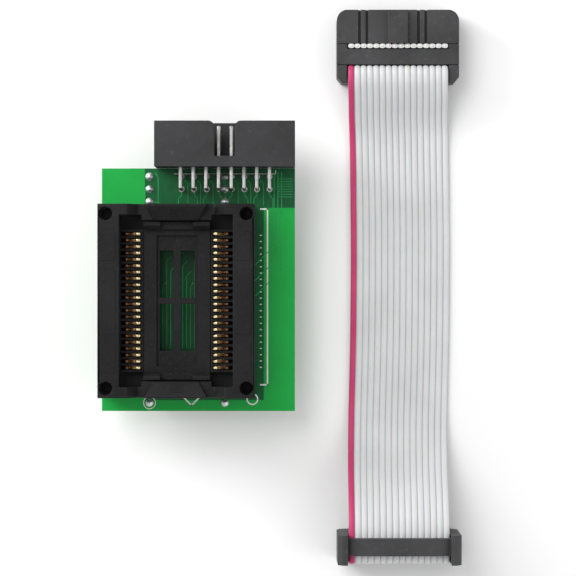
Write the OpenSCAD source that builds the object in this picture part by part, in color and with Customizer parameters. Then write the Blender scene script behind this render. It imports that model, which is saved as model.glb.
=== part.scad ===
// Adapter for a wide 44-lead surface-mount chip, with a press-to-open socket, a shrouded 16-way header
// and a loose ribbon lead.
// +X runs across the board, +Y towards the header, +Z up. The plug-in pins stand on z = 0.

/* [Board] */
// Width of the circuit board
board_w = 39; // [38.6:0.1:40]
// Length of the circuit board
board_l = 49; // [48.6:0.1:50]
// Thickness of the circuit board
board_t = 1.6; // [1.2:0.1:2]

/* [Plug-in pins] */
// Pins in each row
pin_count = 19; // [12:1:19]
// Distance between the two rows
row_gap = 15.24; // [15.24:2.54:15.24]
// Diameter of a pin
pin_d = 0.5; // [0.45:0.01:0.6]
// Free length of a pin below its plastic strip
pin_drop = 6; // [4:0.5:8]

/* [Socket] */
// Width of the socket
socket_w = 31; // [31:0.1:31.4]
// Length of the socket
socket_l = 38.4; // [38.4:0.1:39]
// Contacts on each side
contact_count = 22; // [12:1:22]
// Distance from one contact to the next
contact_pitch = 1.27; // [1.27:0.01:1.27]
// How far the cover travels when it is pressed
cover_travel = 2.5; // [1.5:0.1:2.5]

/* [Header] */
// Width of the header shell
header_w = 28; // [27.8:0.1:28.4]
// Depth of the header shell, mouth to back
header_d = 9.1; // [8.9:0.1:9.4]
// Height of the header shell
header_h = 8.9; // [8.7:0.1:9.2]

/* [Ribbon lead] */
// Number of wires in the ribbon
wire_count = 16; // [16:1:16]
// Thickness of the ribbon
ribbon_t = 0.9; // [0.8:0.05:0.9]
// Sideways distance from the adapter's middle to the lead
lead_x = 40.5; // [36:0.5:60]

/* [Hidden] */
$fn = 32;
eps = 0.01;
pitch = 2.54;

// Board levels and places
strip_w = 2.4;
strip_l = pin_count * pitch - 0.4;
strip_h = 2.5;
board_under = pin_drop + strip_h;
board_top = board_under + board_t;
board_front = -(board_l + header_d) / 2;
board_mid = board_front + board_l / 2;
board_back = board_front + board_l;
header_x = board_w / 2 - header_w / 2;
right_row_x = header_x;
left_row_x = right_row_x - row_gap;
pin_hole_d = 0.9;
shoulder_d = 0.8;
joint_r = 0.75;
joint_h = 0.6;
tail_joint_r = 0.5;
tail_joint_h = 0.8;

// Socket places, in a frame with its origin at the socket's middle on the board
socket_x = -board_w / 2 + socket_w / 2;
socket_y = board_mid - 2.2;
stand_off = 1;
base_top = 5;
seat_z = 7;
bay_half_w = 6.65;
bay_half_l = 14.2;
cover_low = 7.6;
cover_top = 12;
window_half_w = 11.2;
window_half_l = 17;
nest_half_l = 15.75;
rail_in = 4.05;
opening_w = 2.7;
opening_l = 9.3;
opening_x = 2.1;
opening_y = 5.3;
contact_half_l = (contact_count - 1) * contact_pitch / 2;
contact_t = 0.45;
comb_t = 0.5;
tail_x = 7.6;
comb_in = 6.7;
comb_out = 11.1;
post_x = 13.9;
post_y = 17.25;
post_d = 2.44;
post_h = 3.3;
post_hole_d = 2.6;
spring_x = 13.35;
spring_y = 10;
spring_r = 1.3;
spring_wire = 0.4;
spring_turns = 5;
spring_top = 10.5;
pocket_d = 3.5;
leg_x = 9;
leg_w = 4;
leg_t = 1;
hook_t = 0.6;
leg_low = 3.2;
recess_depth = 2.2;

// Header and its pins
header_cols = 8;
header_pin = 0.64;
header_mid_z = board_top + header_h / 2;
header_mouth = board_back + header_d;
header_wall = 1.2;
header_back = 2.4;
notch_w = 4;
notch_l = 7;
notch_r = 1.3;
upper_bend = board_back - 4.2;
lower_bend = upper_bend + pitch;

// Ribbon plugs, in a frame that stands on the mating face with the ribbon's fold at y = 0
plug_w = 24.9;
plug_t = 6.2;
body_h = 6.9;
cover_from = 7.9;
cover_to = 11.2;
bar_from = 12.2;
bar_to = 14.1;
arm_to = 14.9;
ribbon_w = wire_count * 1.27;
inner_half = ribbon_w / 2 + 0.2;
plug_a_y = 52.5;
plug_b_y = -60;

// Route of the ribbon's middle line: sideways shift from lead_x, y and z
ribbon_route = [
    [0, 45.1, 6.6], [0, 45.1, 4.5], [0, 45.1, 2.5], [0, 45.1, 1.3], [0, 44.8, 0.7],
    [0, 44.2, 0.55], [0, 43, 0.55], [0, 41.7, 0.55], [0, 41.1, 0.75], [0, 40.8, 1.4],
    [0, 40.8, 3], [0, 40.8, 5], [0, 40.7, 6], [0, 40.2, 6.8], [0, 39.3, 7.1],
    [0, 37.5, 6.8], [0.1, 34.6, 5.2], [0.2, 31, 2.8], [0.4, 27.5, 1.2], [0.5, 24, 0.6],
    [0.6, 16, 0.55], [0.7, 4, 0.55], [0.6, -12, 0.55], [0.4, -22.5, 0.55], [0.2, -30, 0.8],
    [0.1, -35.6, 2], [0, -41.4, 5.2], [0, -46.4, 8.8], [0, -50.4, 11], [0, -53.4, 11.7],
    [0, -56.4, 11.7], [0, -58.4, 11.7], [0, -59.1, 11.5], [0, -59.45, 10.8], [0, -59.45, 9.5],
    [0, -59.45, 8.2], [0, -59.1, 7.6], [0, -58.4, 7.4], [0, -56.4, 7.4], [0, -53.4, 7.4]
];

function unit(v) = v / norm(v);

// Colours
board_green = "#109c3c";
moulded_black = "#1d1d20";
header_black = "#2c2c30";
gold = "#d8b45a";
tin = "#c9ccd0";
ribbon_grey = "#d5d8da";

// Closed tube through rings of points that all have the same number of points
module tube(rings) {
    sides = len(rings[0]);
    last = len(rings) - 1;
    polyhedron(
        points = [for (ring = rings) each ring],
        faces = concat(
            [[for (j = [sides - 1:-1:0]) j]],
            [for (i = [0:last - 1], j = [0:sides - 1])
                [i * sides + j, i * sides + (j + 1) % sides,
                 (i + 1) * sides + (j + 1) % sides, (i + 1) * sides + j]],
            [[for (j = [0:sides - 1]) last * sides + j]]
        )
    );
}

module in_socket() {
    translate([socket_x, socket_y, board_top]) children();
}

module on_side(side) {
    mirror([side < 0 ? 1 : 0, 0, 0]) children();
}

// A flat outline in x and z, given its thickness along y
module upright(thickness) {
    rotate([90, 0, 0]) translate([0, 0, -thickness / 2]) linear_extrude(thickness) children();
}

module each_plug_in_pin(row_x) {
    for (i = [0:pin_count - 1])
        translate([row_x, board_mid + (i - (pin_count - 1) / 2) * pitch, 0]) children();
}

module each_contact() {
    for (i = [0:contact_count - 1])
        translate([0, i * contact_pitch - contact_half_l, 0]) children();
}

module each_header_column() {
    for (i = [0:header_cols - 1])
        translate([header_x + (i - (header_cols - 1) / 2) * pitch, 0, 0]) children();
}

module openings_under_device(height) {
    for (sx = [-1, 1], sy = [-1, 1])
        translate([sx * opening_x, sy * opening_y, 0]) cube([opening_w, opening_l, height], center = true);
}

module circuit_board() {
    color(board_green) difference() {
        translate([-board_w / 2, board_front, board_under]) cube([board_w, board_l, board_t]);
        for (row_x = [left_row_x, right_row_x]) each_plug_in_pin(row_x) drilled(pin_hole_d);
        for (side = [-1, 1]) translate([socket_x + side * tail_x, socket_y, 0]) each_contact() drilled(0.7);
        each_header_column() for (y = [upper_bend, lower_bend]) translate([0, y, 0]) drilled(1);
    }
}

module drilled(d) {
    translate([0, 0, board_under - 1]) cylinder(d = d, h = board_t + 2);
}

module pin_strip(row_x) {
    color(moulded_black) difference() {
        translate([row_x - strip_w / 2, board_mid - strip_l / 2, pin_drop]) cube([strip_w, strip_l, strip_h]);
        each_plug_in_pin(row_x) translate([0, 0, pin_drop - 1]) cylinder(d = shoulder_d, h = strip_h + 2);
    }
}

module plug_in_pins(row_x) {
    color(gold) each_plug_in_pin(row_x) {
        cylinder(d1 = pin_d - 0.2, d2 = pin_d, h = 0.3);
        translate([0, 0, 0.3]) cylinder(d = pin_d, h = pin_drop - 0.3);
        translate([0, 0, pin_drop]) cylinder(d = shoulder_d, h = strip_h);
        translate([0, 0, board_under]) cylinder(d = pin_d, h = board_t);
    }
}

module pin_solder_joints() {
    color(tin) for (row_x = [left_row_x, right_row_x])
        each_plug_in_pin(row_x) translate([0, 0, board_top]) cylinder(r1 = joint_r, r2 = 0.3, h = joint_h);
}

module tail_joint() {
    translate([0, 0, board_under - tail_joint_h]) cylinder(r1 = 0.2, r2 = tail_joint_r, h = tail_joint_h);
}

module tail_solder_joints() {
    color(tin) {
        for (side = [-1, 1]) translate([socket_x + side * tail_x, socket_y, 0]) each_contact() tail_joint();
        for (i = [0:header_cols - 1], y = [upper_bend, lower_bend]) {
            offset_x = (i - (header_cols - 1) / 2) * pitch;
            if (abs(offset_x) > pitch) translate([header_x + offset_x, y, 0]) tail_joint();
        }
    }
}

module socket_base() {
    color(moulded_black) in_socket() difference() {
        union() {
            translate([-socket_w / 2, -socket_l / 2, stand_off])
                cube([socket_w, socket_l, base_top - stand_off]);
            for (sx = [-1, 1], sy = [-1, 1]) {
                translate([sx * 13, sy * 15.6, 0]) cylinder(d = 3, h = stand_off + eps);
                translate([sx * post_x, sy * post_y, base_top - eps]) cylinder(d = post_d, h = post_h + eps);
            }
        }
        for (side = [-1, 1]) on_side(side) {
            translate([comb_in - 0.02, -bay_half_l - 0.05, stand_off + 1])
                cube([comb_out - comb_in + 0.04, 2 * bay_half_l + 0.1, base_top]);
            translate([tail_x - 0.4, -bay_half_l, 0]) cube([0.8, 2 * bay_half_l, base_top]);
            for (sy = [-1, 1]) mirror([0, sy < 0 ? 1 : 0, 0]) {
                translate([leg_x - leg_w / 2 - 0.2, socket_l / 2 - leg_t - 0.2, 0])
                    cube([leg_w + 0.4, leg_t + 1, base_top + 1]);
                translate([leg_x - leg_w / 2 - 0.2, socket_l / 2 - leg_t - hook_t - 0.2, 0])
                    cube([leg_w + 0.4, leg_t + 1, leg_low + 0.9]);
            }
        }
        cube([2 * opening_x + opening_w + 1, 2 * opening_y + opening_l + 0.6, 4 * base_top], center = true);
    }
}

module device_nest() {
    color(moulded_black) in_socket() difference() {
        union() {
            translate([-bay_half_w, -nest_half_l, base_top])
                cube([2 * bay_half_w, 2 * nest_half_l, seat_z - base_top]);
            for (sy = [-1, 1]) mirror([0, sy < 0 ? 1 : 0, 0]) {
                translate([-bay_half_w, 0, 0]) rotate([90, 0, 90]) linear_extrude(2 * bay_half_w)
                    polygon([[bay_half_l, base_top + 1], [nest_half_l, base_top + 1],
                             [nest_half_l, 9.2], [bay_half_l + 0.7, 9.2], [bay_half_l, 8.3]]);
            }
        }
        openings_under_device(4 * seat_z);
        translate([0, 0, seat_z]) cube([2 * rail_in, 2 * bay_half_l - 2.4, 1.4], center = true);
        for (sy = [-1, 1]) translate([0, sy * nest_half_l, 9.2]) cube([6.4, 4, 2.4], center = true);
    }
}

module contact_comb(side) {
    color(moulded_black) in_socket() on_side(side) {
        translate([comb_in, -bay_half_l, stand_off + 1]) cube([0.25, 2 * bay_half_l, seat_z - stand_off - 1]);
        for (i = [0:contact_count])
            translate([comb_in, (i - contact_count / 2) * contact_pitch - comb_t / 2, stand_off + 1])
                cube([comb_out - comb_in, comb_t, seat_z - stand_off - 1]);
        for (sy = [-1, 1]) translate([comb_in, sy * (bay_half_l - 0.15) - 0.15, stand_off + 1])
            cube([comb_out - comb_in, 0.3, seat_z - stand_off - 1.6]);
    }
}

module contact_tails(side) {
    color(gold) in_socket() on_side(side) each_contact() upright(contact_t)
        polygon([[7.45, -board_t], [7.75, -board_t], [7.75, 2.05], [10, 2.05], [10, 3],
                 [9.6, 3], [9.6, 2.4], [7.45, 2.4]]);
}

module contact_arms(side) {
    color(gold) in_socket() on_side(side) each_contact() upright(contact_t)
        polygon([[9.6, 3.1], [10, 3.1], [10, 5.6], [10.2, 7.4], [9.85, 7.5], [9.5, 6.3],
                 [9.1, 6.9], [8.6, 7.7], [8, 8.2], [7.4, 8.1], [7.1, 7.7], [7.1, 7.35],
                 [7.4, 7.35], [7.6, 7.65], [8, 7.7], [8.4, 7.2], [9, 6], [9.5, 5], [9.6, 4.4]]);
}

module cover_outline() {
    difference() {
        square([socket_w, socket_l], center = true);
        square([2 * window_half_w, 2 * (nest_half_l + 0.2)], center = true);
        for (side = [-1, 1]) on_side(side)
            translate([bay_half_w + 0.3, -window_half_l])
                square([window_half_w - bay_half_w - 0.3, 2 * window_half_l]);
    }
}

module cover_leg() {
    translate([leg_x - leg_w / 2, socket_l / 2 - leg_t, leg_low])
        cube([leg_w, leg_t, cover_low - leg_low + eps]);
    translate([leg_x - leg_w / 2, socket_l / 2 - leg_t - hook_t, leg_low]) cube([leg_w, leg_t, 0.8]);
}

// Block with a sloping lead-in, in the middle of each end beam
module end_block() {
    intersection() {
        linear_extrude(cover_top)
            polygon([[-6.2, socket_l / 2], [6.2, socket_l / 2], [4.4, 15.95], [-4.4, 15.95]]);
        translate([-10, 0, 0]) rotate([90, 0, 90]) linear_extrude(20)
            polygon([[15.95, cover_low], [socket_l / 2, cover_low], [socket_l / 2, cover_top - 0.4],
                     [socket_l / 2 - 0.6, cover_top - 0.4], [15.95, cover_top - 1.8]]);
    }
}

module socket_cover() {
    color(moulded_black) in_socket() {
        difference() {
            translate([0, 0, cover_low]) linear_extrude(cover_top - cover_low) cover_outline();
            for (sx = [-1, 1], sy = [-1, 1]) {
                translate([sx * post_x, sy * post_y, 0]) cylinder(d = post_hole_d, h = 20);
                translate([sx * spring_x, sy * spring_y, cover_low - 1])
                    cylinder(d = pocket_d, h = spring_top - cover_low + 1);
            }
            for (sy = [-1, 1]) translate([0, sy * (socket_l / 2 - 1), 0]) upright(6)
                polygon([[-9.6, cover_top + 1], [9.6, cover_top + 1], [9.6, cover_top],
                         [7.6, cover_top - recess_depth], [-7.6, cover_top - recess_depth],
                         [-9.6, cover_top]]);
        }
        for (sy = [-1, 1]) mirror([0, sy < 0 ? 1 : 0, 0]) {
            end_block();
            for (side = [-1, 1]) on_side(side) cover_leg();
        }
    }
}

module coil_spring() {
    steps = 10;
    rise = (spring_top - base_top - spring_wire) / (spring_turns * steps);
    tube([for (i = [0:spring_turns * steps])
        [for (j = [0:5])
            let (turn = 360 * i / steps, around = 60 * j, r = spring_r + spring_wire / 2 * cos(around))
            [r * cos(turn), r * sin(turn),
             base_top + spring_wire / 2 + i * rise + spring_wire / 2 * sin(around)]]]);
}

module cover_springs() {
    color(tin) in_socket() for (sx = [-1, 1], sy = [-1, 1])
        translate([sx * spring_x, sy * spring_y, 0]) coil_spring();
}

// Outline of the key notch, open at the mouth, where its corners are rounded
module key_notch() {
    translate([-notch_w / 2, -notch_l]) square([notch_w, notch_l + 1]);
    for (side = [-1, 1]) on_side(side) translate([notch_w / 2 - eps, -notch_r]) difference() {
        square([notch_r + eps, notch_r + 1]);
        translate([notch_r + eps, 0]) circle(notch_r);
    }
}

module header_shell() {
    color(header_black) difference() {
        translate([header_x - header_w / 2, board_back, board_top]) cube([header_w, header_d, header_h]);
        translate([header_x - header_w / 2 + header_wall, board_back + header_back, board_top + header_wall])
            cube([header_w - 2 * header_wall, header_d, header_h - 2 * header_wall]);
        translate([header_x, header_mouth, header_mid_z]) linear_extrude(header_h) key_notch();
        each_header_column() for (dz = [-1, 1])
            translate([-0.35, board_back - 1, header_mid_z + dz * pitch / 2 - 0.35]) cube([0.7, 5, 0.7]);
    }
}

// Right-angle pins: from the mouth through the back wall, then down into the board
module header_pins(bend_y, pin_z) {
    half = header_pin / 2;
    tip = header_mouth - 0.9;
    color(tin) each_header_column() translate([-half, 0, 0]) rotate([90, 0, 90]) linear_extrude(header_pin)
        polygon([[bend_y - half, board_under], [bend_y + half, board_under], [bend_y + half, pin_z - half],
                 [tip - 0.5, pin_z - half], [tip, pin_z - 0.15], [tip, pin_z + 0.15],
                 [tip - 0.5, pin_z + half], [bend_y, pin_z + half], [bend_y - half, pin_z]]);
}

module ribbon_cable() {
    count = len(ribbon_route);
    half = ribbon_w / 2;
    thick = ribbon_t / 2;
    section = [[half, -thick / 2], [half, thick / 2], [half - 0.3, thick], [-half + 0.3, thick],
               [-half, thick / 2], [-half, -thick / 2], [-half + 0.3, -thick], [half - 0.3, -thick]];
    color(ribbon_grey) tube([for (i = [0:count - 1])
        let (along = unit(ribbon_route[min(i + 1, count - 1)] - ribbon_route[max(i - 1, 0)]),
             up = unit(cross([1, 0, 0], along)),
             middle = ribbon_route[i] + [lead_x, 0, 0])
        [for (s = section) middle + [s[0], 0, 0] + s[1] * up]]);
}

module at_plug_a() {
    translate([lead_x, plug_a_y, 0]) rotate([90, 0, 0]) children();
}

module at_plug_b() {
    translate([lead_x, plug_b_y, 0]) children();
}

module each_plug_way() {
    for (i = [0:header_cols - 1], row = [-1, 1])
        translate([(i - (header_cols - 1) / 2) * pitch, plug_t / 2 + row * pitch / 2, 0]) children();
}

module plug_outline() {
    corner = 2.2;
    translate([-plug_w / 2, corner]) square([plug_w, body_h - corner]);
    translate([-plug_w / 2 + corner, 0]) square([plug_w - 2 * corner, body_h]);
    for (sx = [-1, 1]) translate([sx * (plug_w / 2 - corner), corner]) circle(corner);
}

module plug_body() {
    color(header_black) difference() {
        union() {
            translate([0, plug_t / 2, 0]) upright(plug_t) plug_outline();
            translate([-2, plug_t - eps, 0.4]) cube([4, 1 + eps, body_h - 0.4]);
        }
        each_plug_way() translate([-0.6, -0.6, -1]) cube([1.2, 1.2, body_h + 2]);
        for (x = [-7.8, -6.3, 4.2, 5.7]) translate([x - 0.25, plug_t - 0.9, -1]) cube([0.5, 2, body_h + 2]);
    }
}

module plug_cover() {
    color(header_black) {
        translate([-inner_half, 0, 0]) rotate([90, 0, 90]) linear_extrude(2 * inner_half)
            polygon([[1.9, cover_from], [plug_t, cover_from], [plug_t, cover_to], [1.9, cover_to],
                     [1.15, cover_to - 0.75], [1.15, cover_from + 0.75]]);
        for (side = [-1, 1]) on_side(side)
            translate([inner_half - eps, 0.2, body_h + 0.05])
                cube([plug_w / 2 - inner_half + eps, plug_t - 0.2, cover_to - body_h - 0.05]);
    }
}

module plug_relief() {
    color(header_black) {
        translate([0, 3.75, 0]) upright(3.5)
            polygon([[-inner_half - eps, bar_from], [inner_half + eps, bar_from],
                     [inner_half + eps, bar_to - 0.9], [inner_half - 2.6, bar_to],
                     [-inner_half + 2.6, bar_to], [-inner_half - eps, bar_to - 0.9]]);
        for (side = [-1, 1]) on_side(side) translate([0, plug_t / 2 + 0.1, 0]) upright(plug_t - 0.2)
            polygon([[inner_half, cover_to + 0.05], [plug_w / 2, cover_to + 0.05],
                     [plug_w / 2, arm_to - 1.2], [plug_w / 2 - 1, arm_to], [inner_half, arm_to]]);
    }
}

// Spring fork in each way: two leaves on a foot that meets the ribbon
module plug_contacts() {
    color(gold) each_plug_way() {
        translate([-0.4, -0.5, body_h - 0.6]) cube([0.8, 1, 0.6]);
        for (sy = [-1, 1]) translate([-0.4, sy * 0.425 - 0.075, 1]) cube([0.8, 0.15, body_h - 1]);
    }
}

circuit_board();
pin_strip(left_row_x);  // pin_strip_left
pin_strip(right_row_x);  // pin_strip_right
plug_in_pins(left_row_x);  // plug_in_pins_left
plug_in_pins(right_row_x);  // plug_in_pins_right
pin_solder_joints();
tail_solder_joints();
socket_base();
device_nest();
contact_comb(-1);  // contact_comb_left
contact_comb(1);  // contact_comb_right
contact_tails(-1);  // contact_tails_left
contact_tails(1);  // contact_tails_right
contact_arms(-1);  // contact_arms_left
contact_arms(1);  // contact_arms_right
socket_cover();
cover_springs();
header_shell();
header_pins(upper_bend, header_mid_z + pitch / 2);  // header_pins_upper
header_pins(lower_bend, header_mid_z - pitch / 2);  // header_pins_lower
ribbon_cable();
at_plug_a() plug_body();  // plug_a_body
at_plug_a() plug_cover();  // plug_a_cover
at_plug_a() plug_relief();  // plug_a_relief
at_plug_a() plug_contacts();  // plug_a_contacts
at_plug_b() plug_body();  // plug_b_body
at_plug_b() plug_cover();  // plug_b_cover
at_plug_b() plug_relief();  // plug_b_relief
at_plug_b() plug_contacts();  // plug_b_contacts
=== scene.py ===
import bpy
import bmesh
import math
import random
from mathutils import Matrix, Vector
from mathutils.geometry import interpolate_bezier


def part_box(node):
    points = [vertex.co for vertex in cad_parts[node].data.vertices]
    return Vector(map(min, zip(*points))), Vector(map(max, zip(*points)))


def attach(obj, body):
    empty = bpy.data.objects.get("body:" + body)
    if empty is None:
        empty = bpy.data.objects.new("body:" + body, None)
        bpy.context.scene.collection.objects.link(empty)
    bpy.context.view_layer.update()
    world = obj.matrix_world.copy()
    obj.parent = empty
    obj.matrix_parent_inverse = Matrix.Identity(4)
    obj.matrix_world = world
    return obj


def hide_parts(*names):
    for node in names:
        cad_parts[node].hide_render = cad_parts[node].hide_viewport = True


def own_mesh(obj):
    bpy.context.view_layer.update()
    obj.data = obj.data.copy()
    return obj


# Chip-programming adapter with a press-to-open socket, a shrouded header and a loose ribbon lead.
# Everything is in metres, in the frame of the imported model.

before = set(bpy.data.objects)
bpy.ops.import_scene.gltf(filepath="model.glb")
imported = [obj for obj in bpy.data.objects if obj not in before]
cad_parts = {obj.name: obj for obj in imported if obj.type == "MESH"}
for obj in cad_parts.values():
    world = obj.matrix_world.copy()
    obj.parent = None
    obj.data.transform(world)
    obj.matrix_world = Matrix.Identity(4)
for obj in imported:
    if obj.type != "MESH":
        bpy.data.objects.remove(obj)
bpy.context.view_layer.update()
mm = 0.001
random.seed(7)
print("frame loaded:", len(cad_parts), "nodes")


view = {"x": 18.1 * mm, "y": -4.2 * mm, "height": 500 * mm, "floorWidth": 118.8 * mm,
        "sensor": 36, "nearest": 0.01, "farthest": 20}
lightRig = {
    "keyLamp": {"place": (-0.24, 0.26, 0.50), "size": 0.45, "watts": 1.9},
    "fillLamp": {"place": (0.42, -0.16, 0.36), "size": 0.40, "watts": 0.5},
    "rimLamp": {"place": (-0.36, 0.20, 0.17), "size": 0.20, "watts": 1.1},
}
studio = {"world": 0.62, "floorSize": 3, "floorLevel": -0.05 * mm}


def setCamera():
    data = bpy.data.cameras.new("viewCamera")
    data.sensor_width = view["sensor"]
    data.lens = view["sensor"] * view["height"] / view["floorWidth"]
    data.clip_start = view["nearest"]
    data.clip_end = view["farthest"]
    camera = bpy.data.objects.new("viewCamera", data)
    bpy.context.scene.collection.objects.link(camera)
    camera.location = (view["x"], view["y"], view["height"])
    bpy.context.scene.camera = camera


def addLamp(name, settings):
    data = bpy.data.lights.new(name, "AREA")
    data.shape = "DISK"
    data.size = settings["size"]
    data.energy = settings["watts"]
    lamp = bpy.data.objects.new(name, data)
    bpy.context.scene.collection.objects.link(lamp)
    lamp.location = settings["place"]
    aim = Vector((view["x"], view["y"], 0)) - lamp.location
    lamp.rotation_euler = aim.to_track_quat("-Z", "Y").to_euler()


setCamera()
for lampName, lampSettings in lightRig.items():
    addLamp(lampName, lampSettings)
print("camera and lamps placed")


class Level:  # one number in a material, so that node maths reads as plain arithmetic
    def __init__(self, paint, socket):
        self.paint, self.socket = paint, socket

    def join(self, kind, *others):
        values = {0: self.socket}
        for place, other in enumerate(others, 1):
            values[place] = getattr(other, "socket", other)
        made = self.paint.node("ShaderNodeMath", {"operation": kind}, values)
        return Level(self.paint, made.outputs[0])

    def flip(self, kind, other):  # other comes first, self second
        values = {0: other, 1: self.socket}
        made = self.paint.node("ShaderNodeMath", {"operation": kind}, values)
        return Level(self.paint, made.outputs[0])

    def __add__(self, other):
        return self.join("ADD", other)

    def __radd__(self, other):
        return self.flip("ADD", other)

    def __sub__(self, other):
        return self.join("SUBTRACT", other)

    def __rsub__(self, other):
        return self.flip("SUBTRACT", other)

    def __mul__(self, other):
        return self.join("MULTIPLY", other)

    def __rmul__(self, other):
        return self.flip("MULTIPLY", other)

    def __truediv__(self, other):
        return self.join("DIVIDE", other)

    def __gt__(self, other):
        return self.join("GREATER_THAN", other)

    def __lt__(self, other):
        return self.join("LESS_THAN", other)

    def highest(self, other):
        return self.join("MAXIMUM", other)

    def lowest(self, other):
        return self.join("MINIMUM", other)

    def size(self):
        return self.join("ABSOLUTE")


class Paint:  # a material being built
    def __init__(self, name):
        self.material = bpy.data.materials.new(name)
        self.material.use_nodes = True
        self.tree = self.material.node_tree
        self.shader = self.tree.nodes["Principled BSDF"]
        self.coords = self.node("ShaderNodeTexCoord", {}, {}).outputs["Object"]

    def node(self, kind, settings, values):
        made = self.tree.nodes.new(kind)
        for key, value in settings.items():
            if key == "stops":
                self.setStops(made.color_ramp, value)
            else:
                setattr(made, key, value)
        for key, value in values.items():
            value = getattr(value, "socket", value)
            if isinstance(value, bpy.types.NodeSocket):
                self.tree.links.new(value, made.inputs[key])
            else:
                made.inputs[key].default_value = value
        return made

    def setStops(self, ramp, stops):
        while len(ramp.elements) < len(stops):
            ramp.elements.new(0.5)
        for element, (place, level) in zip(ramp.elements, stops):
            element.position = place
            element.color = (level, level, level, 1)

    def set(self, **values):
        for key, value in values.items():
            socket = self.shader.inputs[key.replace("_", " ")]
            value = getattr(value, "socket", value)
            if isinstance(value, bpy.types.NodeSocket):
                self.tree.links.new(value, socket)
            else:
                socket.default_value = value

    def axes(self):
        parts = self.node("ShaderNodeSeparateXYZ", {}, {0: self.coords}).outputs
        return [Level(self, part) for part in parts]

    def grain(self, perMillimetre, detail=4, roughness=0.55, stretch=(1, 1, 1)):
        spread = self.node("ShaderNodeMapping", {}, {"Vector": self.coords, "Scale": stretch}).outputs[0]
        noise = self.node("ShaderNodeTexNoise", {}, {
            "Vector": spread, "Scale": perMillimetre / mm, "Detail": detail, "Roughness": roughness})
        return Level(self, noise.outputs[0])

    def ramp(self, level, stops):
        made = self.node("ShaderNodeValToRGB", {"stops": stops}, {0: level})
        return Level(self, made.outputs[0])

    def mix(self, share, first, second):
        made = self.node("ShaderNodeMix", {"data_type": "RGBA"}, {0: share, 6: first, 7: second})
        return made.outputs[2]

    def bump(self, height, strength, depth):
        made = self.node("ShaderNodeBump", {}, {"Height": height, "Strength": strength, "Distance": depth})
        self.set(Normal=made.outputs[0])


def rgb(red, green, blue):
    return (red, green, blue, 1)


def blackPlastic(name, base, shine, speckle, fineness, contrast=2.4, gloss=0.3):
    paint = Paint(name)
    broad, fine = paint.grain(0.12), paint.grain(fineness, 3)
    glass = paint.ramp(paint.grain(fineness * 1.7, 2), [(0.60, 0), (0.72, 1)])
    dust = paint.ramp(paint.grain(0.9, 5, 0.7), [(0.58, 0), (0.75, 1)])
    worn = (broad * 0.6 + dust * 0.35).lowest(1)
    tone = paint.mix(worn, rgb(*[c * 0.2 for c in base]), rgb(*[c * contrast for c in base]))
    tone = paint.mix(glass * speckle, tone, rgb(*[min(c * 5, 0.3) for c in base]))
    paint.set(Base_Color=tone, Roughness=shine + broad * 0.16 + fine * 0.12 - dust * 0.05)
    paint.shader.inputs["Specular IOR Level"].default_value = gloss
    paint.bump(fine * 0.7 + broad * 0.3, 0.5, 0.05 * mm)
    return paint.material


def metal(name, base, dull, shine, fineness, stretch=(1, 1, 1)):
    paint = Paint(name)
    broad, fine = paint.grain(0.5), paint.grain(fineness, 4, 0.6, stretch)
    tone = paint.mix(paint.ramp(broad, [(0.35, 0), (0.7, 1)]), rgb(*base), rgb(*dull))
    paint.set(Base_Color=tone, Roughness=shine + broad * 0.12 + fine * 0.12, Metallic=1.0)
    paint.bump(fine, 0.22, 0.02 * mm)
    return paint.material


lowBoard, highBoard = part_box("circuit_board")
lowBase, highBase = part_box("socket_base")
socketMiddle = (lowBase + highBase) / 2
boardTop = highBoard.z
rowX = (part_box("plug_in_pins_left")[0].x + 0.25 * mm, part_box("plug_in_pins_right")[0].x + 0.25 * mm)


def contactGold(name):  # bright at the tips that touch the chip, coppery and dim outside
    paint = Paint(name)
    x = paint.axes()[0]
    reach = (x - socketMiddle.x).size()
    tip = paint.ramp((8.9 * mm - reach) / (1.2 * mm), [(0.1, 0), (0.6, 1)])
    broad, fine = paint.grain(0.6), paint.grain(7)
    copper = paint.mix(broad, rgb(0.30, 0.14, 0.07), rgb(0.50, 0.30, 0.14))
    bright = paint.mix(broad, rgb(0.95, 0.74, 0.36), rgb(0.98, 0.86, 0.58))
    paint.set(Base_Color=paint.mix(tip, copper, bright), Metallic=1.0,
              Roughness=0.42 - tip * 0.16 + fine * 0.14)
    paint.bump(fine, 0.2, 0.015 * mm)
    return paint.material


def solderMask():
    paint = Paint("solderMask")
    x, y, z = paint.axes()
    edge = (z > lowBoard.z + 0.05 * mm) * (z < boardTop - 0.05 * mm)
    pourLeft = x < rowX[0] - 0.95 * mm
    pourRight = (x > socketMiddle.x + 17.2 * mm) * (y < 12 * mm)
    pourLow = y < lowBoard.y + 2.2 * mm
    pour = pourLeft.highest(pourRight).highest(pourLow)
    broad, weave = paint.grain(0.09, 3), paint.grain(1.6, 3, 0.5, (1, 0.25, 1))
    fine = paint.grain(9, 3)
    # Outside the copper pours the mask is a darker green: partly the mask over bare laminate, partly painted
    # shade from the header over the board between the header and the socket.
    bareAndShade = paint.mix(broad, rgb(0.001, 0.046, 0.017), rgb(0.003, 0.105, 0.030))
    copper = paint.mix(broad, rgb(0.003, 0.30, 0.036), rgb(0.010, 0.46, 0.070))
    mask = paint.mix(weave * 0.2, paint.mix(pour, bareAndShade, copper), rgb(0.004, 0.32, 0.06))
    glass = paint.mix(weave, rgb(0.22, 0.30, 0.10), rgb(0.42, 0.46, 0.20))
    paint.set(Base_Color=paint.mix(edge, mask, glass),
              Roughness=0.24 + broad * 0.10 + edge * 0.35 + fine * 0.05)
    paint.shader.inputs["Coat Weight"].default_value = 0.12
    paint.shader.inputs["Coat Roughness"].default_value = 0.12
    paint.shader.inputs["Specular IOR Level"].default_value = 0.2
    paint.bump(weave * 0.6 + fine * 0.2 + pour * 0.8, 0.25, 0.03 * mm)
    return paint.material


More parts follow.
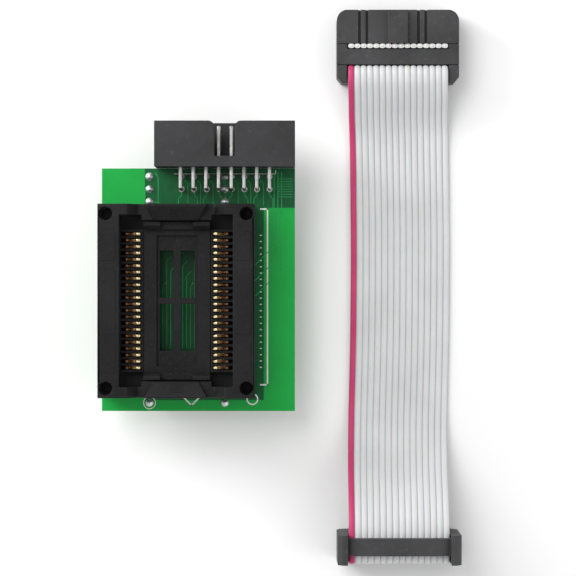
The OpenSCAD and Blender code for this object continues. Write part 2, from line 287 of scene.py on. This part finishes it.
def traceMask():
    paint = Paint("traceMask")
    broad, fine = paint.grain(0.3), paint.grain(9)
    tone = paint.mix(broad, rgb(0.008, 0.27, 0.065), rgb(0.03, 0.44, 0.13))
    paint.set(Base_Color=tone, Roughness=0.24 + fine * 0.12)
    paint.shader.inputs["Coat Weight"].default_value = 0.12
    paint.shader.inputs["Specular IOR Level"].default_value = 0.2
    paint.bump(fine, 0.2, 0.01 * mm)
    return paint.material


def silkInk():
    paint = Paint("silkInk")
    broad, fine = paint.grain(1.2), paint.grain(8, 4, 0.7)
    tone = paint.mix(paint.ramp(fine, [(0.45, 0), (0.75, 1)]), rgb(0.86, 0.88, 0.85), rgb(0.62, 0.72, 0.64))
    paint.set(Base_Color=tone, Roughness=0.55 + broad * 0.2)
    paint.bump(fine, 0.3, 0.01 * mm)
    return paint.material


def ribbonVinyl():
    paint = Paint("ribbonVinyl")
    across = Level(paint, paint.node("ShaderNodeAttribute", {"attribute_name": "across"}, {}).outputs["Fac"])
    broad, fine = paint.grain(0.10, 3), paint.grain(4, 4, 0.6, (1, 0.12, 1))
    grey = paint.mix(broad, rgb(0.56, 0.57, 0.575), rgb(0.71, 0.72, 0.725))
    pink = paint.mix(broad, rgb(0.42, 0.018, 0.095), rgb(0.62, 0.07, 0.20))
    y, z = paint.axes()[1:]
    cutEnd = (z > 6.57 * mm) * (y > 44.4 * mm)
    first = (across < -8.95) * (1 - cutEnd)  # the stripe's ink is only on the outside of the first wire
    phase = (across * (1 / 1.27) + 8).join("FRACT")
    # painted shade: the grooves between the wires are darkened towards a dark grey
    grooveShade = paint.ramp((phase - 0.5).size(), [(0.36, 0), (0.49, 1)])
    tone = paint.mix(grooveShade * (0.22 + fine * 0.2), paint.mix(first, grey, pink), rgb(0.16, 0.165, 0.17))
    paint.set(Base_Color=tone, Roughness=0.34 + broad * 0.10 + fine * 0.12)
    paint.shader.inputs["Specular IOR Level"].default_value = 0.3
    paint.shader.inputs["Subsurface Weight"].default_value = 0.12
    paint.shader.inputs["Subsurface Scale"].default_value = 0.6 * mm
    paint.bump(fine * 0.6 + broad * 0.4, 0.25, 0.03 * mm)
    return paint.material


finish = {
    "mask": solderMask(),
    "trace": traceMask(),
    "silk": silkInk(),
    "socket": blackPlastic("socketPlastic", (0.0075, 0.0075, 0.0082), 0.36, 0.8, 4, 3.4, 0.17),
    "nest": blackPlastic("nestPlastic", (0.0075, 0.0075, 0.0082), 0.42, 1.0, 3, 3.6, 0.17),
    "header": blackPlastic("headerPlastic", (0.030, 0.030, 0.032), 0.40, 0.2, 6),
    "plug": blackPlastic("plugPlastic", (0.046, 0.046, 0.048), 0.36, 0.2, 6),
    "strip": blackPlastic("stripPlastic", (0.016, 0.016, 0.017), 0.45, 0.1, 6),
    "arms": contactGold("contactGold"),
    "gold": metal("pinGold", (0.90, 0.68, 0.32), (0.74, 0.52, 0.24), 0.20, 6),
    "tin": metal("tinPlate", (0.60, 0.60, 0.59), (0.34, 0.34, 0.33), 0.30, 5, (1, 0.15, 0.15)),
    "solder": metal("solder", (0.92, 0.93, 0.94), (0.62, 0.63, 0.64), 0.34, 3),
    "steel": metal("springSteel", (0.62, 0.62, 0.64), (0.42, 0.42, 0.44), 0.24, 8),
    "ribbon": ribbonVinyl(),
    "core": metal("wireCopper", (0.93, 0.80, 0.70), (0.80, 0.62, 0.50), 0.25, 6),
}
print("finishes made:", len(finish))


def clearSelection():
    if bpy.context.object and bpy.context.object.mode != "OBJECT":
        bpy.ops.object.mode_set(mode="OBJECT")
    bpy.ops.object.select_all(action="DESELECT")


def pick(*objects):
    clearSelection()
    for each in objects:
        each.select_set(True)
    bpy.context.view_layer.objects.active = objects[0]


def settle(piece):  # puts a piece's place into its mesh
    pick(piece)
    bpy.ops.object.transform_apply(location=True, rotation=True, scale=True)


def joined(parts, name):
    pick(*parts)
    if len(parts) > 1:
        bpy.ops.object.join()
    piece = bpy.context.object
    piece.name = piece.data.name = name
    settle(piece)
    return piece


def modified(piece, kind, **settings):
    pick(piece)
    modifier = piece.modifiers.new(kind.lower(), kind)
    for key, value in settings.items():
        setattr(modifier, key, value)
    bpy.ops.object.modifier_apply(modifier=modifier.name)


def complete(piece, body, material, nodes=(), angle=35, crisp=True):
    piece.data.materials.clear()
    piece.data.materials.append(material)
    pick(piece)
    bpy.ops.object.shade_smooth_by_angle(angle=math.radians(angle))
    if crisp:  # flat faces stay flat beside their eased edges
        modified(piece, "WEIGHTED_NORMAL", keep_sharp=True, weight=80)
    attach(piece, body)
    sides = [round(side / mm, 2) for side in piece.dimensions]
    print("made", piece.name, sides, len(piece.data.polygons), "faces")
    if nodes:
        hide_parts(*nodes)
    return piece


# a CAD shape with its moulded edges eased
def softened(node, name, width, body, material, segments=2):
    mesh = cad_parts[node].data.copy()
    piece = bpy.data.objects.new(name, mesh)
    bpy.context.scene.collection.objects.link(piece)
    pick(piece)
    bpy.ops.object.mode_set(mode="EDIT")
    bpy.ops.mesh.select_all(action="SELECT")
    bpy.ops.mesh.remove_doubles(threshold=0.002 * mm)
    bpy.ops.mesh.tris_convert_to_quads(face_threshold=math.radians(1), shape_threshold=math.radians(180))
    bpy.ops.object.mode_set(mode="OBJECT")
    for face in piece.data.polygons:
        face.use_smooth = False
    modified(piece, "BEVEL", width=width, segments=segments, limit_method="ANGLE",
             angle_limit=math.radians(32), use_clamp_overlap=False)
    return complete(piece, body, material, [node])


def stripe(start, end, width, level, thick):  # one straight printed or etched line
    start, end = Vector((*start, 0)), Vector((*end, 0))
    run = end - start
    bpy.ops.mesh.primitive_plane_add(size=1, location=(*((start + end) / 2).xy, level))
    line = bpy.context.object
    line.scale = (run.length + width, width, 1)
    line.rotation_euler = (0, 0, math.atan2(run.y, run.x))
    bpy.ops.object.transform_apply(location=False, rotation=True, scale=True)
    bpy.ops.object.mode_set(mode="EDIT")
    bpy.ops.mesh.select_all(action="SELECT")
    bpy.ops.mesh.extrude_region_move(TRANSFORM_OT_translate={"value": (0, 0, thick)})
    bpy.ops.mesh.select_all(action="SELECT")
    bpy.ops.mesh.normals_make_consistent(inside=False)
    bpy.ops.object.mode_set(mode="OBJECT")
    return line


def path(points, width, level, thick):
    return [stripe(a, b, width, level, thick) for a, b in zip(points, points[1:])]


def ring(x, y, inner, outer, level, thick, sides=28):  # a flat washer, such as a pad round a pin
    bpy.ops.mesh.primitive_circle_add(radius=outer, vertices=sides, fill_type="NGON", location=(x, y, level))
    washer = bpy.context.object
    bpy.ops.object.mode_set(mode="EDIT")
    bpy.ops.mesh.select_all(action="SELECT")
    bpy.ops.mesh.inset(thickness=outer - inner, depth=0)
    bpy.ops.mesh.delete(type="FACE")
    bpy.ops.mesh.select_all(action="SELECT")
    bpy.ops.mesh.extrude_region_move(TRANSFORM_OT_translate={"value": (0, 0, thick)})
    bpy.ops.mesh.select_all(action="SELECT")
    bpy.ops.mesh.normals_make_consistent(inside=False)
    bpy.ops.object.mode_set(mode="OBJECT")
    return washer


def copiesOf(pattern, places):  # one modelled pattern, repeated, each copy with its own mesh
    copies = []
    for x, y, z in places:
        copy = pattern.copy()
        copy.data = pattern.data.copy()
        copy.location = (x, y, z)
        bpy.context.scene.collection.objects.link(copy)
        copies.append(copy)
    bpy.data.objects.remove(pattern)
    return copies


ribbon = {"wires": 16, "wirePitch": 1.27 * mm, "halfThick": 0.45 * mm,
          "ringGap": 0.7 * mm, "leadX": 40.5 * mm,
          "coreRadius": 0.19 * mm, "coreShows": 0.12 * mm, "coreEdge": 0.03 * mm}

# the route of the ribbon's middle line: sideways shift, y and z, in metres
ribbonRoute = [
    (0, 0.0451, 0.0066), (0, 0.0451, 0.0045), (0, 0.0451, 0.0025), (0, 0.0451, 0.0013), (0, 0.0448, 0.0007),
    (0, 0.0442, 0.00055), (0, 0.043, 0.00055), (0, 0.0417, 0.00055), (0, 0.0411, 0.00075),
    (0, 0.0408, 0.0014),
    (0, 0.0408, 0.003), (0, 0.0408, 0.005), (0, 0.0407, 0.006), (0, 0.0402, 0.0068), (0, 0.0393, 0.0071),
    (0, 0.0375, 0.0068), (0.0001, 0.0346, 0.0052), (0.0002, 0.031, 0.0028), (0.0004, 0.0275, 0.0012),
    (0.0005, 0.024, 0.0006), (0.0006, 0.016, 0.00055), (0.0007, 0.004, 0.00055), (0.0006, -0.012, 0.00055),
    (0.0004, -0.0225, 0.00055), (0.0002, -0.03, 0.0008), (0.0001, -0.0356, 0.002), (0, -0.0414, 0.0052),
    (0, -0.0464, 0.0088), (0, -0.0504, 0.011), (0, -0.0534, 0.0117), (0, -0.0564, 0.0117),
    (0, -0.0584, 0.0117),
    (0, -0.0591, 0.0115), (0, -0.05945, 0.0108), (0, -0.05945, 0.0095), (0, -0.05945, 0.0082),
    (0, -0.0591, 0.0076), (0, -0.0584, 0.0074), (0, -0.0564, 0.0074), (0, -0.0534, 0.0074)]


def smoothRoute(points, gap):  # an even-ended smooth curve through every route point
    points = [Vector((p[0] + ribbon["leadX"], p[1], p[2])) for p in points]
    slopes = []
    for i in range(len(points)):
        before, after = points[max(i - 1, 0)], points[min(i + 1, len(points) - 1)]
        slopes.append((after - before).normalized())
    line = [points[0]]
    for i in range(len(points) - 1):
        run = (points[i + 1] - points[i]).length
        steps = max(2, round(run / gap))
        third = run / 3
        curve = interpolate_bezier(points[i], points[i] + slopes[i] * third,
                                   points[i + 1] - slopes[i + 1] * third, points[i + 1], steps + 1)
        line.extend(curve[1:])
    return line


def wireSection():  # height over the width: sixteen round wires bonded by thin webs
    pitch, half = ribbon["wirePitch"], ribbon["halfThick"]
    shares = [(-0.5, 0.38), (-0.36, 0.80), (-0.14, 0.985), (0.14, 0.985), (0.36, 0.80)]
    top = []
    for wire in range(ribbon["wires"]):
        middle = (wire - (ribbon["wires"] - 1) / 2) * pitch
        top += [(middle + share * pitch, half * height) for share, height in shares]
    edge = ribbon["wires"] / 2 * pitch
    top[0] = (-edge, half * 0.38)
    top.append((edge, half * 0.38))
    return top + [(x, -h) for x, h in reversed(top)]


def makeRibbon():
    line = smoothRoute(ribbonRoute, ribbon["ringGap"])
    section = wireSection()
    mesh = bpy.data.meshes.new("ribbonLead")
    work = bmesh.new()
    across = work.verts.layers.float.new("across")
    rings = []
    for i, middle in enumerate(line):
        along = (line[min(i + 1, len(line) - 1)] - line[max(i - 1, 0)]).normalized()
        up = Vector((1, 0, 0)).cross(along).normalized()
        loop = []
        for x, h in section:
            vert = work.verts.new(middle + Vector((x, 0, 0)) + up * h)
            vert[across] = x / mm
            loop.append(vert)
        rings.append(loop)
    count = len(section)
    for a, b in zip(rings, rings[1:]):
        for j in range(count):
            work.faces.new((a[j], a[(j + 1) % count], b[(j + 1) % count], b[j]))
    half = count // 2
    for loop, flip in ((rings[0], False), (rings[-1], True)):
        for j in range(half - 1):
            corners = [loop[j], loop[j + 1], loop[count - 2 - j], loop[count - 1 - j]]
            work.faces.new(corners[::-1] if flip else corners)
    bmesh.ops.recalc_face_normals(work, faces=work.faces)
    work.to_mesh(mesh)
    work.free()
    piece = bpy.data.objects.new("ribbonLead", mesh)
    bpy.context.scene.collection.objects.link(piece)
    complete(piece, "adapter", finish["ribbon"], ["ribbon_cable"], 60, False)
    return piece, line


def makeWireEnds(line):  # bright copper cores that show at the ribbon's cut ends
    ends = []
    for end, nextOne in ((line[0], line[1]), (line[-1], line[-2])):
        out = (end - nextOne).normalized()
        for wire in range(ribbon["wires"]):
            x = (wire - (ribbon["wires"] - 1) / 2) * ribbon["wirePitch"]
            bpy.ops.mesh.primitive_cylinder_add(vertices=12, radius=ribbon["coreRadius"],
                                                depth=ribbon["coreShows"], location=end + Vector((x, 0, 0)))
            core = bpy.context.object
            core.rotation_euler = out.to_track_quat("Z", "Y").to_euler()
            modified(core, "BEVEL", width=ribbon["coreEdge"], segments=2)
            ends.append(core)
    return complete(joined(ends, "wireCores"), "adapter", finish["core"])


ribbonPiece, ribbonLine = makeRibbon()
ribbonLength = sum((b - a).length for a, b in zip(ribbonLine, ribbonLine[1:]))
wireCores = makeWireEnds(ribbonLine)
print("ribbon made:", len(ribbonLine), "rings,", round(ribbonLength, 4), "m long")


plugEdges = {"body": 0.10 * mm, "cover": 0.14 * mm, "relief": 0.14 * mm}
for side in "ab":
    for part, width in plugEdges.items():
        softened(f"plug_{side}_{part}", f"plug{side.upper()}{part.title()}", width,
                                   "adapter", finish["plug"])
    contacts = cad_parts[f"plug_{side}_contacts"]
    contacts.data.materials.clear()
    contacts.data.materials.append(finish["gold"])
print("plugs made")


def repaint(node, material):
    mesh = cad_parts[node].data
    mesh.materials.clear()
    mesh.materials.append(material)


repaint("circuit_board", finish["mask"])
for node in ("plug_in_pins_left", "plug_in_pins_right", "contact_tails_left", "contact_tails_right"):
    repaint(node, finish["gold"])
for node in ("pin_strip_left", "pin_strip_right"):
    repaint(node, finish["strip"])
for node in ("contact_comb_left", "contact_comb_right"):
    repaint(node, finish["nest"])
repaint("tail_solder_joints", finish["solder"])
repaint("header_pins_lower", finish["tin"])
softened("header_pins_upper", "headerPinsUpper", 0.06 * mm, "adapter", finish["tin"], 1)

pinRow = {"count": 19, "pitch": 2.54 * mm}
silk = {"wide": 0.30 * mm, "fine": 0.14 * mm, "thick": 0.03 * mm,
        "bracketFar": 2.45 * mm, "bracketNear": 1.1 * mm, "bracketLow": 2.2 * mm, "bracketHigh": 0.7 * mm,
        "dots": 22, "dotPitch": 1.27 * mm, "dotLength": 0.22 * mm, "dotWide": 0.20 * mm}
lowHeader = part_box("header_shell")[0]
boardMiddle = (lowBoard + highBoard) / 2
rowEnd = (pinRow["count"] - 1) / 2
pinPlaces = [(x, boardMiddle.y + (i - rowEnd) * pinRow["pitch"])
             for x in rowX for i in range(pinRow["count"])]


def columnX(column):  # the middle of one of the header's eight columns
    return lowHeader.x + 14 * mm + (column - 3.5) * pinRow["pitch"]


def makeSilk():
    level, wide, fine = boardTop, silk["wide"], silk["fine"]
    right = highBase.x + silk["bracketFar"]
    near = highBase.x + silk["bracketNear"]
    low = lowBase.y + silk["bracketLow"]
    high = highBase.y - silk["bracketHigh"]
    lines = path([(near, high), (right, high), (right, low), (near, low)], wide, level, silk["thick"])
    tip, out = lowBase.y - 1.95 * mm, 2.4 * mm
    middle = socketMiddle.x + 2.6 * mm
    foot = lowBase.y + 0.45 * mm
    lines += path([(middle - out, foot), (middle, tip), (middle + out, foot)], wide, level, silk["thick"])
    lines += path([(middle - out, foot), (middle + out, foot)], wide, level, silk["thick"])
    corner, under = highBoard.x - 3.9 * mm, highBoard.y - 1.1 * mm
    lines += path([(lowHeader.x + 3.6 * mm, under), (corner, under)], fine, level, silk["thick"])
    lines += path([(corner, under), (corner, highBoard.y - 0.4 * mm)], fine, level, silk["thick"])
    firstPin = boardMiddle.y - rowEnd * pinRow["pitch"]
    lines.append(ring(rowX[0], firstPin, 1.12 * mm, 1.28 * mm, level, silk["thick"]))
    lines.append(ring(highBase.x - 0.6 * mm, lowBase.y - 0.7 * mm, 0.95 * mm, 1.20 * mm,
                      level, silk["thick"]))
    dash = socketMiddle.y + 13.2 * mm
    for i in range(silk["dots"]):
        x, y = near - 0.10 * mm, dash - i * silk["dotPitch"]
        lines.append(stripe((x, y), (x + silk["dotLength"], y), silk["dotWide"], level, silk["thick"]))
    return complete(joined(lines, "silkPrint"), "adapter", finish["silk"])


etched = {"wide": 0.16 * mm, "fine": 0.12 * mm, "thick": 0.035 * mm,
          "edgeRuns": 8, "links": 7, "longRuns": 3, "windowRuns": 9}


def makeTraces():
    level, wide, fine, thick = boardTop, etched["wide"], etched["fine"], etched["thick"]
    lines = []
    right, back = highBoard.x, highBoard.y
    # a block of short parallel runs at the right of the header
    for i in range(etched["edgeRuns"]):
        y = back - (2.1 + 0.52 * i) * mm
        lines += path([(right - 3.4 * mm, y), (right - 0.5 * mm, y)], fine, level, thick)
    # a run beside the left pin row
    side = rowX[0] + 1.75 * mm
    lines += path([(side - 0.6 * mm, back - 0.9 * mm), (side, back - 1.8 * mm), (side, back - 8 * mm)],
                  wide, level, thick)
    # short links between the header's pads
    for i in range(etched["links"]):
        x = columnX(i)
        lines += path([(x + 0.6 * mm, back - 2.4 * mm), (x + 1.27 * mm, back - 3.0 * mm),
                       (x + 1.27 * mm, back - 7.4 * mm)], fine, level, thick)
    # long runs down the right edge, then across to the socket
    for i in range(etched["longRuns"]):
        x = right - (1.1 + 0.75 * i) * mm
        turn = -7.5 * mm + 2.4 * i * mm
        lines += path([(x - 1.6 * mm, back - 0.8 * mm), (x - 1.6 * mm, back - 9 * mm),
                       (x - 1.6 * mm, turn + 7 * mm), (x - 4.2 * mm, turn + 4.4 * mm),
                       (x - 7.6 * mm, turn + 1.0 * mm)], wide, level, thick)
    # fan from the header pins towards the socket
    for i in range(8):
        x = columnX(i)
        shift = (1.2 if i % 2 else -1.2) * mm
        lines += path([(x, back - 4.8 * mm), (x, back - 5.4 * mm), (x + shift * 0.55, back - 6.1 * mm),
                       (x + shift * 0.55, back - 9.5 * mm)], wide, level, thick)
    # outline of the left ground pour
    edge = rowX[0] - 0.9 * mm
    lines += path([(edge + 0.7 * mm, back - 3.4 * mm), (edge, back - 4.2 * mm), (edge, back - 6.8 * mm),
                   (edge + 2.9 * mm, back - 6.8 * mm)], wide, level, thick)
    # parallel runs that show through the socket's windows
    for i in range(etched["windowRuns"]):
        x = socketMiddle.x + (i - 4) * 0.8 * mm
        lines += path([(x, socketMiddle.y - 9.5 * mm), (x, socketMiddle.y + (3 + (i * 5) % 7) * mm),
                       (x + 0.9 * mm, socketMiddle.y + (3.9 + (i * 5) % 7) * mm)], wide, level, thick)
    return complete(joined(lines, "etchedTraces"), "adapter", finish["trace"])


pad = {"hole": 0.30 * mm, "rim": 0.58 * mm, "thick": 0.04 * mm, "columns": (0, 1, 2, 5, 6, 7)}


def makePads():
    pads = []
    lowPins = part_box("header_pins_upper")[0].y + 0.32 * mm
    for column in pad["columns"]:
        for y in (lowPins, lowPins + pinRow["pitch"]):
            pads.append(ring(columnX(column), y, pad["hole"], pad["rim"], boardTop, pad["thick"]))
    return complete(joined(pads, "padRings"), "adapter", finish["tin"])


# the pressed cover's legs stop 0.7 mm above the board, so a blob stays under that
blob = {"radius": 0.84 * mm, "height": 0.68, "slump": 0.30, "point": 0.12, "lift": 0.01 * mm}


def makeSolderDomes():  # a blob over each pin end, with the pin's point just showing
    bpy.ops.mesh.primitive_uv_sphere_add(segments=20, ring_count=12, radius=blob["radius"],
                                         location=(0, 0, 0))
    dome = bpy.context.object
    dome.scale = (1, 1, blob["height"])
    settle(dome)
    bpy.ops.object.mode_set(mode="EDIT")
    bpy.ops.mesh.select_all(action="SELECT")
    bpy.ops.mesh.bisect(plane_co=(0, 0, 0), plane_no=(0, 0, 1), clear_inner=True, use_fill=True)
    bpy.ops.object.mode_set(mode="OBJECT")
    for vert in dome.data.vertices:
        away = math.hypot(vert.co.x, vert.co.y) / blob["radius"]
        vert.co.z *= 1 - blob["slump"] * away ** 2 + blob["point"] * max(0, 1 - away * 2.4)
    domes = copiesOf(dome, [(x, y, boardTop + blob["lift"]) for x, y in pinPlaces])
    for each in domes:
        each.rotation_euler.z = random.uniform(0, 6)
        swell = random.uniform(0.93, 1.0)
        each.scale = (swell, random.uniform(0.93, 1.0), random.uniform(0.85, 1.02))
    return complete(joined(domes, "solderDomes"), "adapter", finish["solder"],
                    ["pin_solder_joints"], 60, False)


makeSilk()
makeTraces()
makePads()
makeSolderDomes()
print("board dressed")


softened("header_shell", "headerShell", 0.16 * mm, "adapter", finish["header"])


softened("socket_base", "socketBase", 0.12 * mm, "adapter", finish["socket"])
softened("device_nest", "deviceNest", 0.12 * mm, "adapter", finish["nest"])
softened("socket_cover", "socketCover", 0.16 * mm, "cover", finish["socket"], 3)
softened("contact_arms_left", "contactArmsLeft", 0.05 * mm, "arms_left", finish["arms"], 1)
softened("contact_arms_right", "contactArmsRight", 0.05 * mm, "arms_right", finish["arms"], 1)

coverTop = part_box("socket_cover")[1].z


def plate(x, y, width, length, level, thick):  # a low raised panel with eased edges
    bpy.ops.mesh.primitive_plane_add(size=1, location=(x, y, level))
    panel = bpy.context.object
    panel.scale = (width, length, 1)
    bpy.ops.object.transform_apply(location=False, rotation=False, scale=True)
    bpy.ops.object.mode_set(mode="EDIT")
    bpy.ops.mesh.select_all(action="SELECT")
    bpy.ops.mesh.extrude_region_move(TRANSFORM_OT_translate={"value": (0, 0, thick)})
    bpy.ops.mesh.select_all(action="SELECT")
    bpy.ops.mesh.normals_make_consistent(inside=False)
    bpy.ops.object.mode_set(mode="OBJECT")
    modified(panel, "BEVEL", width=min(width, length, thick) * 0.4, segments=2)
    return panel


# places and lengths in millimetres from the socket's middle
sidePanel = {"x": 13.35, "width": 2.8, "spans": ((-0.2, 12.8), (-11.2, 6.0), (10.8, 5.6)), "sunk": 0.02}
endMark = {"halfX": 1.1 * mm, "halfY": 0.8 * mm, "line": 0.16 * mm, "hole": 0.30 * mm, "rim": 0.44 * mm,
           "y": 17.3, "slopeFrom": 15.95, "slopeLow": 10.2, "rise": 1.4, "run": 2.65}
panelThick = 0.10 * mm


def makeCoverPanels():  # low moulded panels on the side beams, and a square mark on each end block
    level = coverTop - sidePanel["sunk"] * mm
    parts = []
    for side in (-1, 1):
        x = socketMiddle.x + side * sidePanel["x"] * mm
        for middle, length in sidePanel["spans"]:
            parts.append(plate(x, socketMiddle.y + middle * mm, sidePanel["width"] * mm, length * mm,
                               level, panelThick))
    for end in (-1, 1):
        out, up = endMark["halfX"], endMark["halfY"]
        mark = path([(-out, -up), (out, -up), (out, up), (-out, up), (-out, -up)],
                    endMark["line"], 0, panelThick)
        mark.append(ring(0, 0, endMark["hole"], endMark["rim"], 0, panelThick))
        pick(*mark)
        bpy.ops.object.join()
        square = bpy.context.object
        settle(square)
        square.rotation_euler = (end * math.atan2(endMark["rise"], endMark["run"]), 0, 0)
        climbed = endMark["rise"] * (endMark["y"] - endMark["slopeFrom"]) / endMark["run"]
        slope = boardTop + (endMark["slopeLow"] + climbed) * mm
        square.location = (socketMiddle.x, socketMiddle.y + end * endMark["y"] * mm, slope - 0.03 * mm)
        parts.append(square)
    return complete(joined(parts, "coverPanels"), "cover", finish["socket"])


# in millimetres from the socket's middle and from the board
nestMark = {"floor": 6.3, "y": 11.4, "rings": ((-2.5, 1.0), (0, 1.15), (2.5, 1.0)),
            "wide": 0.2, "thick": 0.12}


def makeNestMarks():  # shallow ejector rings moulded in the floor of the nest
    level = boardTop + nestMark["floor"] * mm - 0.02 * mm
    rings = []
    for end in (-1, 1):
        for x, radius in nestMark["rings"]:
            place = (socketMiddle.x + x * mm, socketMiddle.y + end * nestMark["y"] * mm)
            rings.append(ring(*place, (radius - nestMark["wide"]) * mm, radius * mm, level,
                              nestMark["thick"] * mm))
    return complete(joined(rings, "nestMarks"), "adapter", finish["nest"])


spring = {"turns": 5, "radius": 1.3 * mm, "wire": 0.2 * mm, "reach": 1.5 * mm, "stepsPerTurn": 16,
          "closedEnds": 0.06, "pressedTo": 0.54}


def makeSprings():
    lowSpring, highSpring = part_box("cover_springs")
    coils = []
    for sx in (lowSpring.x + spring["reach"], highSpring.x - spring["reach"]):
        for sy in (lowSpring.y + spring["reach"], highSpring.y - spring["reach"]):
            data = bpy.data.curves.new("coil", "CURVE")
            data.dimensions = "3D"
            data.bevel_depth = spring["wire"]
            data.bevel_resolution = 2
            steps = spring["stepsPerTurn"] * spring["turns"]
            line = data.splines.new("POLY")
            line.points.add(steps)
            rise = highSpring.z - lowSpring.z - 2 * spring["wire"]
            for i in range(steps + 1):
                turn = 2 * math.pi * i / spring["stepsPerTurn"]
                share = i / steps
                share -= spring["closedEnds"] * math.sin(2 * math.pi * share)
                x = sx + spring["radius"] * math.cos(turn)
                y = sy + spring["radius"] * math.sin(turn)
                line.points[i].co = (x, y, lowSpring.z + spring["wire"] + rise * share, 1)
            data.use_fill_caps = True
            coil = bpy.data.objects.new("coil", data)
            bpy.context.scene.collection.objects.link(coil)
            pick(coil)
            bpy.ops.object.convert(target="MESH")
            coils.append(bpy.context.object)
    piece = complete(joined(coils, "coverSprings"), "adapter", finish["steel"],
                     ["cover_springs"], 60, False)
    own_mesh(piece)


makeCoverPanels()
makeNestMarks()
makeSprings()
print("socket made")


def makeFloor():
    bpy.ops.mesh.primitive_plane_add(size=studio["floorSize"],
                                     location=(view["x"], view["y"], studio["floorLevel"]))
    floor = bpy.context.object
    floor.name = "floor"
    paint = Paint("paleFloor")
    broad = paint.grain(0.01, 2)
    paint.set(Base_Color=paint.mix(broad, rgb(0.90, 0.90, 0.90), rgb(0.93, 0.93, 0.93)), Roughness=0.8)
    floor.data.materials.append(paint.material)


def makeWorld():
    world = bpy.data.worlds.new("studio")
    bpy.context.scene.world = world
    world.use_nodes = True
    back = world.node_tree.nodes["Background"]
    back.inputs[0].default_value = (1, 1, 1, 1)
    back.inputs[1].default_value = studio["world"]
    bpy.context.scene.view_settings.view_transform = "Standard"


makeFloor()
makeWorld()
